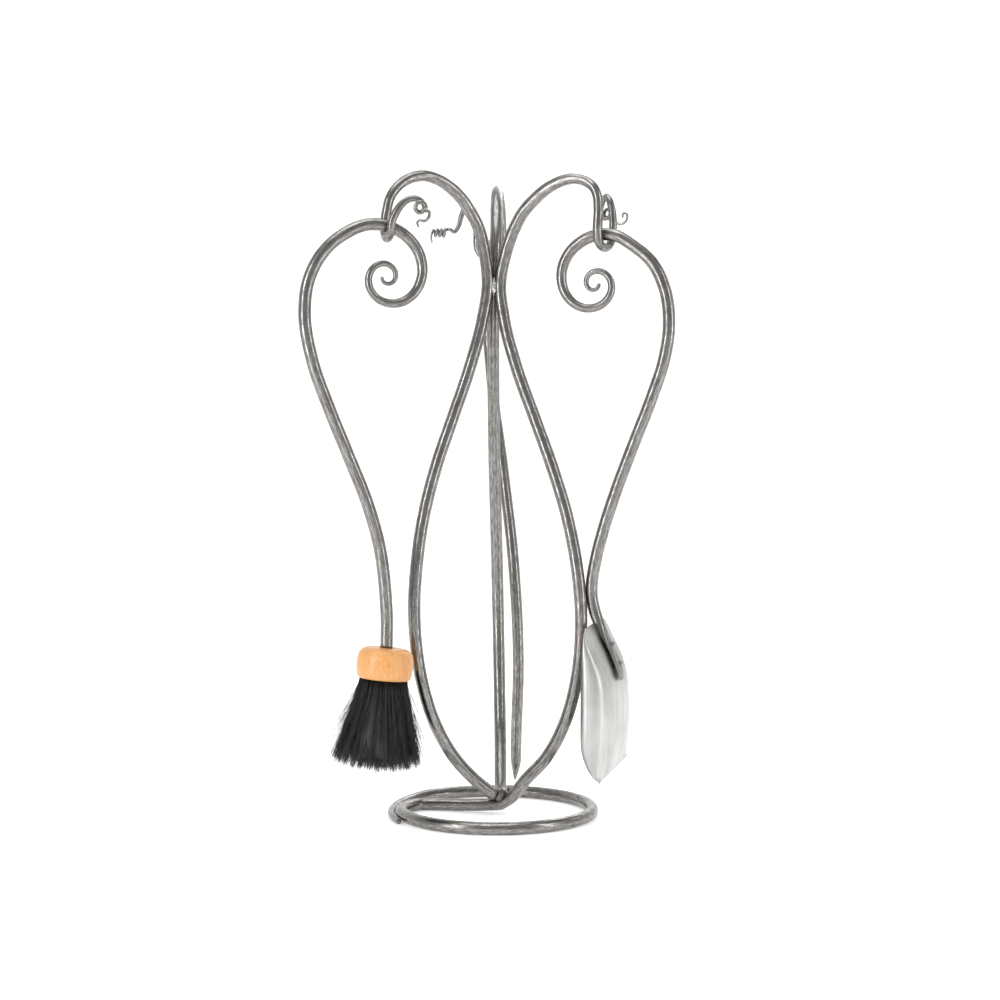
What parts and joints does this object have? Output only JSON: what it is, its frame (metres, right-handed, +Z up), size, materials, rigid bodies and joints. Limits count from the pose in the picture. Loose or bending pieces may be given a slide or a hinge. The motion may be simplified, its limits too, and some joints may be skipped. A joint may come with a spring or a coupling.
{
  "type": "fireplace tool set",
  "caption": "Forged round-bar stand with scroll hooks that carries a hearth brush, an ash shovel and a poker, each hung by its scroll handle.",
  "frame": {"origin": "floor level at the middle of the base ring", "axes": "+Z up; +Y towards the poker's arm at the back; +X towards the shovel's side"},
  "size_m": [0.3685, 0.3361, 0.6541],
  "materials": {
    "stand_steel": "hand-forged, wire-brushed and waxed",
    "handle_steel": "hand-forged, wire-brushed and waxed",
    "fastener_steel": "dark forged",
    "pan_steel": "bright brushed sheet",
    "head_wood": "turned and oiled, satin",
    "bristle_fibre": "stiff black fibre"
  },
  "bodies": {
    "stand": {"base_ring": "stand_steel", "left_upright": "stand_steel", "right_upright": "stand_steel", "rear_upright": "stand_steel", "base_weld": "stand_steel", "waist_weld": "stand_steel"},
    "brush": {"brush_handle": "handle_steel", "brush_head": "head_wood", "brush_washer": "fastener_steel", "brush_nut": "fastener_steel", "tuft_roots": "bristle_fibre", "bristles": "bristle_fibre"},
    "shovel": {"shovel_handle": "handle_steel", "shovel_blade": "pan_steel", "shovel_rivets": "fastener_steel"},
    "poker": {"poker_bar": "handle_steel"}
  },
  "joints": [
    {"name": "brush_swing", "type": "hinge", "parent": "stand", "child": "brush", "pos_m": [-0.1067, -0.0663, 0.583], "axis": [-0.309, 0.9511, 0], "range_deg": [0, 40]},
    {"name": "shovel_swing", "type": "hinge", "parent": "stand", "child": "shovel", "pos_m": [0.1076, -0.0373, 0.5765], "axis": [-0.309, -0.9511, 0], "range_deg": [0, 40]},
    {"name": "poker_swing", "type": "hinge", "parent": "stand", "child": "poker", "pos_m": [-0.0084, 0.133, 0.583], "axis": [1, 0, 0], "range_deg": [0, 40]}
  ]
}
